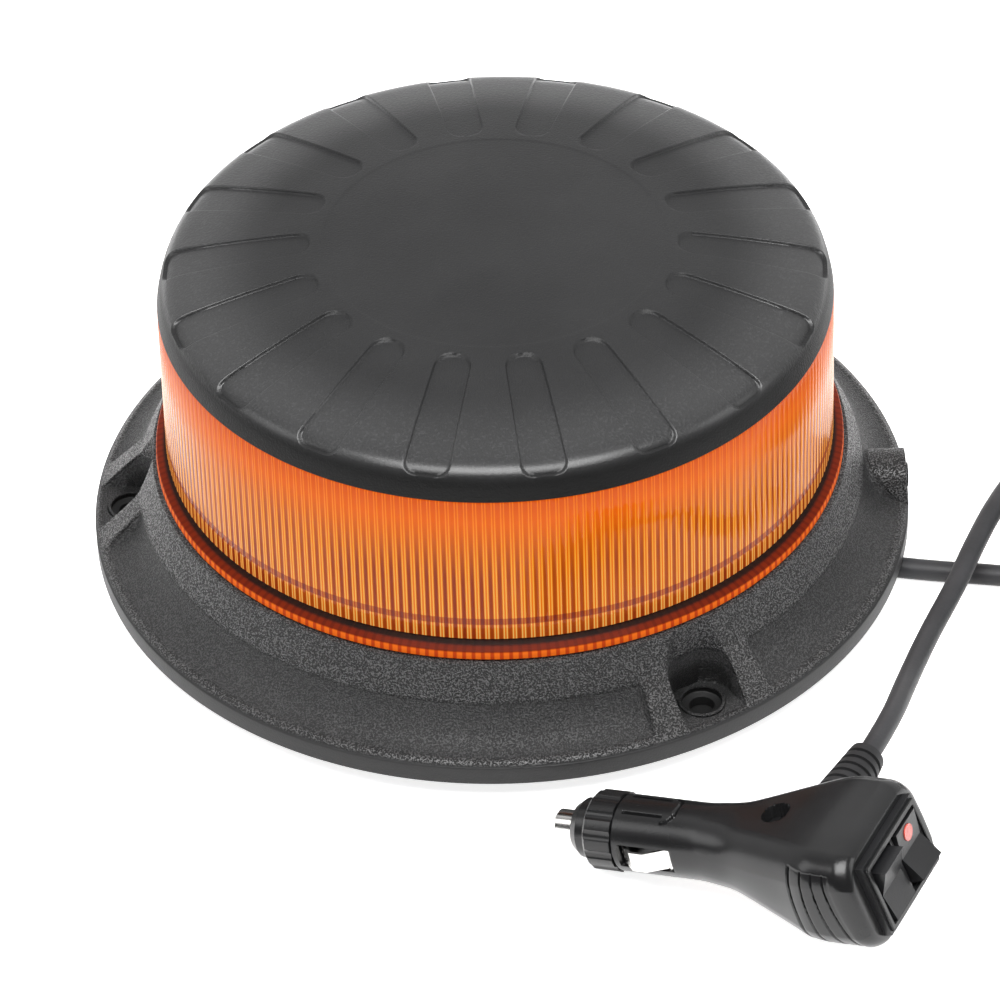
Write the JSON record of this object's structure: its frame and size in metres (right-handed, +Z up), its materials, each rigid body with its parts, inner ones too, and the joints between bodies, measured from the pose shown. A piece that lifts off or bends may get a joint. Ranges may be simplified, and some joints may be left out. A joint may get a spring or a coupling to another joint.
{
  "type": "amber warning beacon",
  "caption": "Low round amber LED warning beacon on magnet feet, with a fluted lens under a grooved black cap and a coiled lead to a switched 12 volt accessory plug.",
  "frame": {"origin": "on the floor under the middle of the beacon", "axes": "+Z up through the cap; +X towards the blanked side outlet and the coiled lead; the plug lies on the -Y side"},
  "size_m": [0.3603, 0.3102, 0.106],
  "materials": {
    "housing": "fine grained black moulding",
    "cap": "fine grained black moulding, coarser in the grooves",
    "amber": "clear amber, fluted",
    "rubber": "moulded rubber",
    "steel": "plated steel",
    "magnet": "plated magnet and keeper disc",
    "aluminium": "turned aluminium",
    "reflector": "white",
    "board": "solder resist",
    "white_board": "white solder resist",
    "diode": "phosphor under clear resin",
    "can": "sleeved can",
    "ferrite": "wound ferrite",
    "core": "insulated wire",
    "membrane": "breathable membrane",
    "shell": "satin black moulding",
    "plated": "nickel plate",
    "glass": "clear tube",
    "switch": "satin black",
    "red": "clear red",
    "brass": "stamped brass",
    "jacket": "black cord jacket",
    "strap": "black strap"
  },
  "bodies": {
    "root": {"base_housing": "housing", "outlet_blanking_plug": "rubber", "rubber_foot_1": "rubber", "rubber_foot_2": "rubber", "rubber_foot_3": "rubber", "magnet_disc_1": "magnet", "magnet_disc_2": "magnet", "magnet_disc_3": "magnet", "magnet_screws": "steel", "lens_gasket": "rubber", "lens": "amber", "dome_screws": "steel", "top_cap": "cap", "reflector_plate": "reflector", "heat_sink_drum": "aluminium", "drum_screws": "steel", "led_board_1": "white_board", "led_board_2": "white_board", "led_board_3": "white_board", "led_board_4": "white_board", "led_board_5": "white_board", "led_board_6": "white_board", "led_board_7": "white_board", "led_board_8": "white_board", "leds": "diode", "driver_board": "board", "board_spacers": "brass", "board_screws": "steel", "capacitors": "can", "choke": "ferrite", "cable_gland": "rubber", "internal_leads": "core", "breather_vent": "membrane", "plug_upper_shell": "shell", "plug_lower_shell": "shell", "shell_screw": "steel", "rear_fuse_contact": "brass", "switch_frame": "switch", "switch_terminals": "brass", "plug_boot": "rubber", "cord_base_run": "jacket", "cord_plug_run": "jacket", "cord_coil": "jacket", "coil_tie": "strap"},
    "power_rocker": {"power_rocker": "switch", "indicator_lens": "red"},
    "pattern_rocker": {"pattern_rocker": "switch"},
    "cap_washer": {"cap_washer": "plated"},
    "fuse_cap": {"fuse_cap": "shell"},
    "contact_tip": {"contact_tip": "plated", "fuse_tube": "glass", "fuse_caps": "plated", "fuse_spring": "steel"},
    "ground_contact_left": {"ground_contact_left": "plated"},
    "ground_contact_right": {"ground_contact_right": "plated"}
  },
  "joints": [
    {"name": "power_press", "type": "hinge", "parent": "root", "child": "power_rocker", "pos_m": [0.10044, -0.16936, 0.02992], "axis": [0.454, 0.891, 0], "range_deg": [0, 18]},
    {"name": "pattern_press", "type": "hinge", "parent": "root", "child": "pattern_rocker", "pos_m": [0.09417, -0.18166, 0.02992], "axis": [-0.454, -0.891, 0], "range_deg": [0, 9], "stiffness_Nm_per_rad": 0.02, "springref_deg": -2.86},
    {"name": "cap_travel", "type": "slide", "parent": "root", "child": "cap_washer", "axis": [-0.8682, 0.4424, -0.225], "range_m": [0, 0.0025]},
    {"name": "cap_turn", "type": "hinge", "parent": "cap_washer", "child": "fuse_cap", "pos_m": [0.02485, -0.13859, 0.0113], "axis": [-0.8682, 0.4424, -0.225], "range_deg": [0, 725]},
    {"name": "tip_press", "type": "slide", "parent": "fuse_cap", "child": "contact_tip", "axis": [0.8682, -0.4424, 0.225], "range_m": [0, 0.003], "stiffness_N_per_m": 900, "springref_m": -0.001},
    {"name": "left_contact_press", "type": "hinge", "parent": "root", "child": "ground_contact_left", "pos_m": [0.04108, -0.15612, 0.01647], "axis": [0.2004, -0.1021, -0.9744], "range_deg": [0, 5], "stiffness_Nm_per_rad": 0.2, "springref_deg": -1.15},
    {"name": "right_contact_press", "type": "hinge", "parent": "root", "child": "ground_contact_right", "pos_m": [0.04857, -0.14142, 0.01647], "axis": [-0.2004, 0.1021, 0.9744], "range_deg": [0, 5], "stiffness_Nm_per_rad": 0.2, "springref_deg": -1.15}
  ],
  "couplings": [
    {"joint": "cap_turn", "follows": "cap_travel", "rad_per_m": 5026.5}
  ]
}
